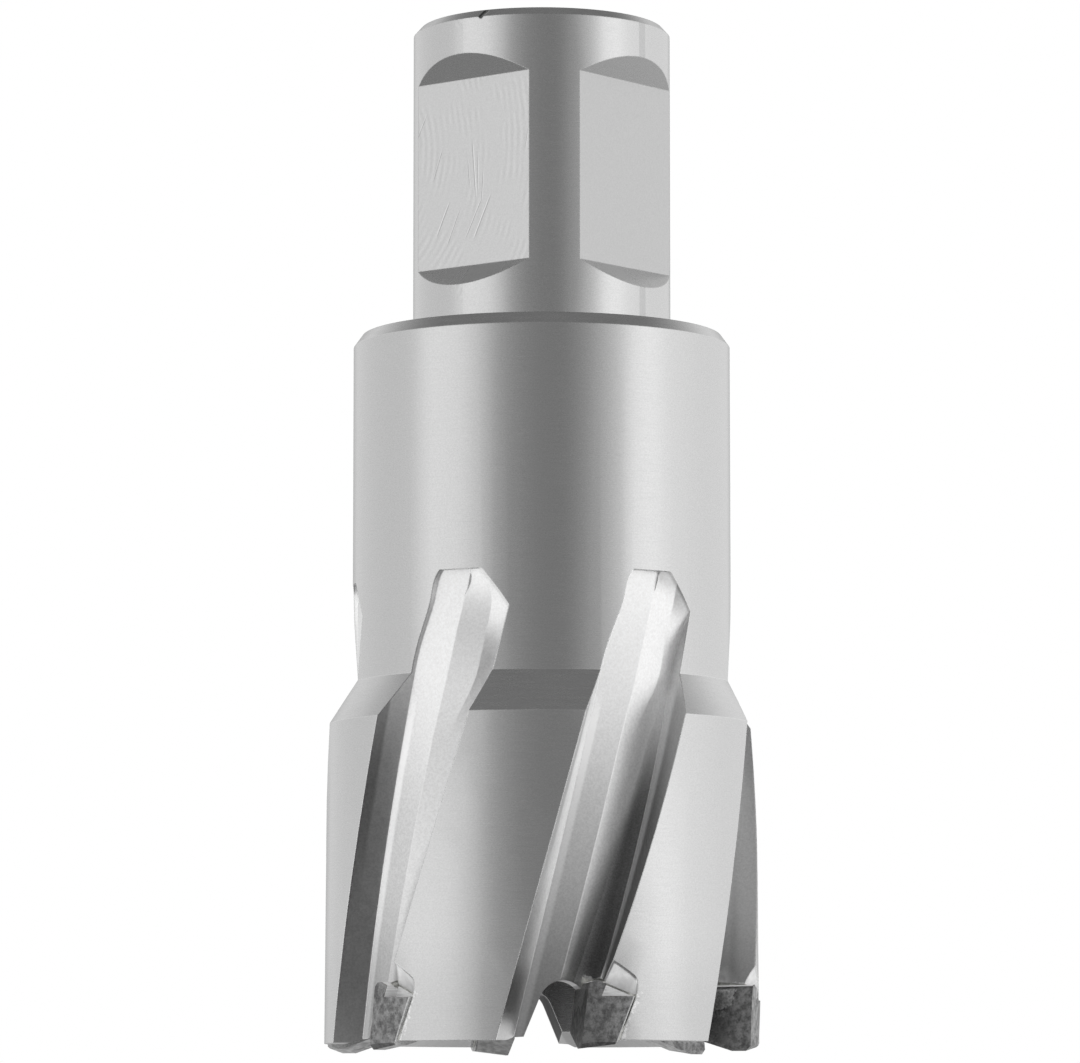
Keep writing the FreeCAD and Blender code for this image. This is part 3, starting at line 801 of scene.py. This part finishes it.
BRAZE_NOISE = (2.5, 4.0, 0.6)
BRAZE_WARMTH = 0.95
BRAZE_ROUGHNESS = 0.4
BRAZE_RELIEF = (0.6, 0.08)


def braze_material():
    material, tree, shader = start_material("braze")
    lumps = noise(tree, own_place(tree), *BRAZE_NOISE)
    level = smooth_step(tree, lumps, *NOISE_SPREAD, *BRAZE_TONES)
    warm = multiply(tree, level, BRAZE_WARMTH)
    channels = {"Red": level, "Green": level, "Blue": warm}
    colour = add_node(tree, "ShaderNodeCombineColor", channels).outputs[0]
    set_input(tree, shader.inputs["Base Color"], colour)
    shader.inputs["Metallic"].default_value = 1.0
    shader.inputs["Roughness"].default_value = BRAZE_ROUGHNESS
    set_input(tree, shader.inputs["Normal"], relief(tree, lumps, *BRAZE_RELIEF))
    return material


MATERIALS = {
    "cutter_body": steel_material(),
    "carbide_tip": carbide_material(),
    "braze_seam": braze_material(),
}


def dress_nodes():
    """Each CAD node gets the material of its kind in every slot of its object."""
    for name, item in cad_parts.items():
        kind = next(kind for kind in MATERIALS if name.startswith(kind))
        for slot in item.material_slots:
            slot.material = MATERIALS[kind]


# A bead of braze lies in the step between each tip's top and the rake wall: places along it as
# millimetres from the axis, and its half thickness there.
BEAD_STATIONS = (
    (11.1, 0.14), (11.6, 0.26), (12.2, 0.34), (12.8, 0.4), (13.4, 0.36), (14.0, 0.38), (14.6, 0.33),
    (15.1, 0.25), (15.5, 0.1),
)
BEAD_BACK = 0.05
BEAD_RISE = 0.02
BEAD_SIDES = 10
BEAD_SMOOTHING = 2
# How uneven a bead is, how quickly that changes along it, and how far apart two beads' patterns lie.
LUMP_SIZE = 0.45
LUMP_RATE = 1.7
LUMP_STEP = 7


def bead_points(number):
    """Rings of points along one bead, where the measured tooth stands, in millimetres."""
    back, up = [Vector(axis) for axis in leaning_axes(TIP_ANGLE, TIP_SLANT)]
    out = back.cross(up)
    pivot = Vector((0.0, 0.0, TIP_PIVOT_HEIGHT))
    points = []
    for reach, half in BEAD_STATIONS:
        middle = pivot + back * BEAD_BACK + out * reach + up * (TIP_REACH + BEAD_RISE)
        for side in range(BEAD_SIDES):
            turn = 2 * math.pi * side / BEAD_SIDES
            lump_place = Vector((reach * LUMP_RATE, math.cos(turn) + LUMP_STEP * number, math.sin(turn)))
            size = half * (1 + LUMP_SIZE * mathutils_noise.noise(lump_place))
            points.append(middle + (back * math.cos(turn) + up * math.sin(turn)) * size)
    return points


def bead_faces():
    """The faces between the rings, and one at each end."""
    faces = []
    for station in range(len(BEAD_STATIONS) - 1):
        for side in range(BEAD_SIDES):
            following = (side + 1) % BEAD_SIDES
            low = station * BEAD_SIDES
            high = low + BEAD_SIDES
            faces.append((low + side, low + following, high + following, high + side))
    last = (len(BEAD_STATIONS) - 1) * BEAD_SIDES
    faces.append(tuple(reversed(range(BEAD_SIDES))))
    faces.append(tuple(range(last, last + BEAD_SIDES)))
    return faces


def make_beads():
    """One lumpy bead for each tip, swept along the top of its rake face."""
    faces = bead_faces()
    for number in range(1, TOOTH_COUNT + 1):
        turn = Matrix.Rotation(math.radians((number - MEASURED_TOOTH) * 360 / TOOTH_COUNT), 3, "Z")
        mesh = bpy.data.meshes.new(f"braze_bead_{number}")
        mesh.from_pydata([turn @ point * MM for point in bead_points(number)], [], faces)
        mesh.polygons.foreach_set("use_smooth", [True] * len(faces))
        mesh.materials.append(MATERIALS["braze_seam"])
        bead = bpy.data.objects.new(f"braze_bead_{number}", mesh)
        bpy.context.scene.collection.objects.link(bead)
        smoother = bead.modifiers.new("smoother", "SUBSURF")
        smoother.levels = BEAD_SMOOTHING
        smoother.render_levels = BEAD_SMOOTHING
        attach(bead, "root")


bpy.context.scene.view_settings.view_transform = "Standard"
make_camera()
make_floor()
make_world()
dress_nodes()
make_beads()
